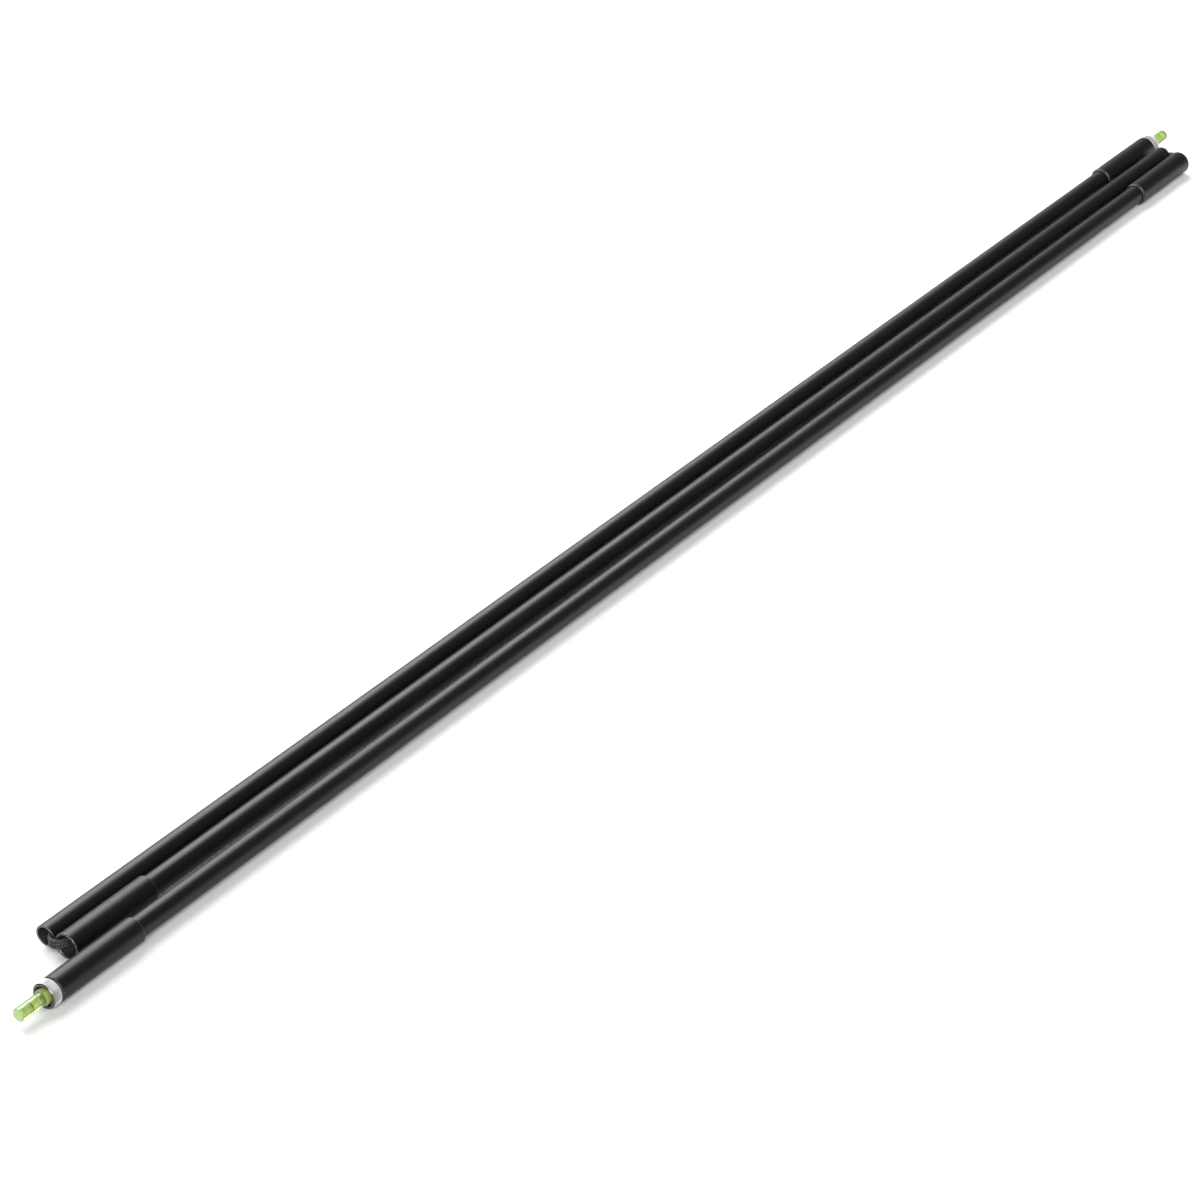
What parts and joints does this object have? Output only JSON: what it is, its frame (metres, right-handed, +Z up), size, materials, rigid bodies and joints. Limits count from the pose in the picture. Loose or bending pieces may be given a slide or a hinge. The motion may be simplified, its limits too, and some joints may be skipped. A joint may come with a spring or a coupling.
{
  "type": "folding probe pole",
  "caption": "Folding sectional snow probe pole on an elastic cord, with push-in sleeve joints, knurled screw collars and clear pin tips.",
  "frame": {"origin": "on the floor under the centre of the folded bundle", "axes": "+X along the bundle towards the rear section's tip, +Y towards the rear section, +Z up"},
  "size_m": [1.1086, 0.0462, 0.0136],
  "materials": {
    "tube_black": "satin black anodised",
    "sleeve_black": "satin black anodised",
    "collar_metal": "bright turned and knurled",
    "insert_metal": "turned",
    "crimp_metal": "pressed",
    "clear_tip": "clear yellow-green, polished, frosted end",
    "elastic_cord": "black braided cover"
  },
  "bodies": {
    "middle_section": {"middle_tube": "tube_black", "middle_socket_sleeve": "sleeve_black", "middle_cord_run": "elastic_cord"},
    "rear_lead": {"rear_cord_lead": "elastic_cord", "rear_cord_link": "elastic_cord"},
    "rear_section": {"rear_tube": "tube_black", "rear_tip_sleeve": "sleeve_black", "rear_end_insert": "insert_metal", "rear_cord_run": "elastic_cord", "rear_cord_crimp": "crimp_metal"},
    "rear_tip": {"rear_tip": "clear_tip"},
    "rear_collar": {"rear_collar": "collar_metal"},
    "front_lead": {"front_cord_lead": "elastic_cord", "front_cord_link": "elastic_cord"},
    "front_section": {"front_tube": "tube_black", "front_socket_sleeve": "sleeve_black", "front_tip_sleeve": "sleeve_black", "front_end_insert": "insert_metal", "front_cord_run": "elastic_cord", "front_cord_crimp": "crimp_metal"},
    "front_tip": {"front_tip": "clear_tip"},
    "front_collar": {"front_collar": "collar_metal"}
  },
  "joints": [
    {"name": "rear_pull", "type": "slide", "parent": "middle_section", "child": "rear_lead", "axis": [-1, 0, 0], "range_m": [-0.0298, 0.03], "deforming": ["rear_cord_lead"]},
    {"name": "rear_swing", "type": "hinge", "parent": "rear_lead", "child": "rear_section", "pos_m": [-0.5023, 0.0084, 0.0068], "axis": [0, 0, 1], "range_deg": [0, 179.95], "deforming": ["rear_cord_link"]},
    {"name": "rear_collar_turn", "type": "hinge", "parent": "rear_tip", "child": "rear_collar", "pos_m": [0.53149, 0.0163, 0.0068], "axis": [1, 0.0009, 0], "range_deg": [0, 1440]},
    {"name": "rear_tip_travel", "type": "slide", "parent": "rear_section", "child": "rear_tip", "axis": [1, 0.0009, 0], "range_m": [0, 0.004]},
    {"name": "front_pull", "type": "slide", "parent": "middle_section", "child": "front_lead", "axis": [1, 0, 0], "range_m": [-0.0318, 0.03], "deforming": ["front_cord_lead"]},
    {"name": "front_swing", "type": "hinge", "parent": "front_lead", "child": "front_section", "pos_m": [0.5263, -0.0056, 0.0068], "axis": [0, 0, 1], "range_deg": [0, 179.8], "deforming": ["front_cord_link"]},
    {"name": "front_collar_turn", "type": "hinge", "parent": "front_tip", "child": "front_collar", "pos_m": [-0.53147, -0.0163, 0.0068], "axis": [-1, -0.0035, 0], "range_deg": [0, 1440]},
    {"name": "front_tip_travel", "type": "slide", "parent": "front_section", "child": "front_tip", "axis": [-1, -0.0035, 0], "range_m": [0, 0.004]}
  ],
  "couplings": [
    {"joint": "rear_collar_turn", "follows": "rear_tip_travel", "rad_per_m": 6283.2},
    {"joint": "front_collar_turn", "follows": "front_tip_travel", "rad_per_m": 6283.2}
  ]
}
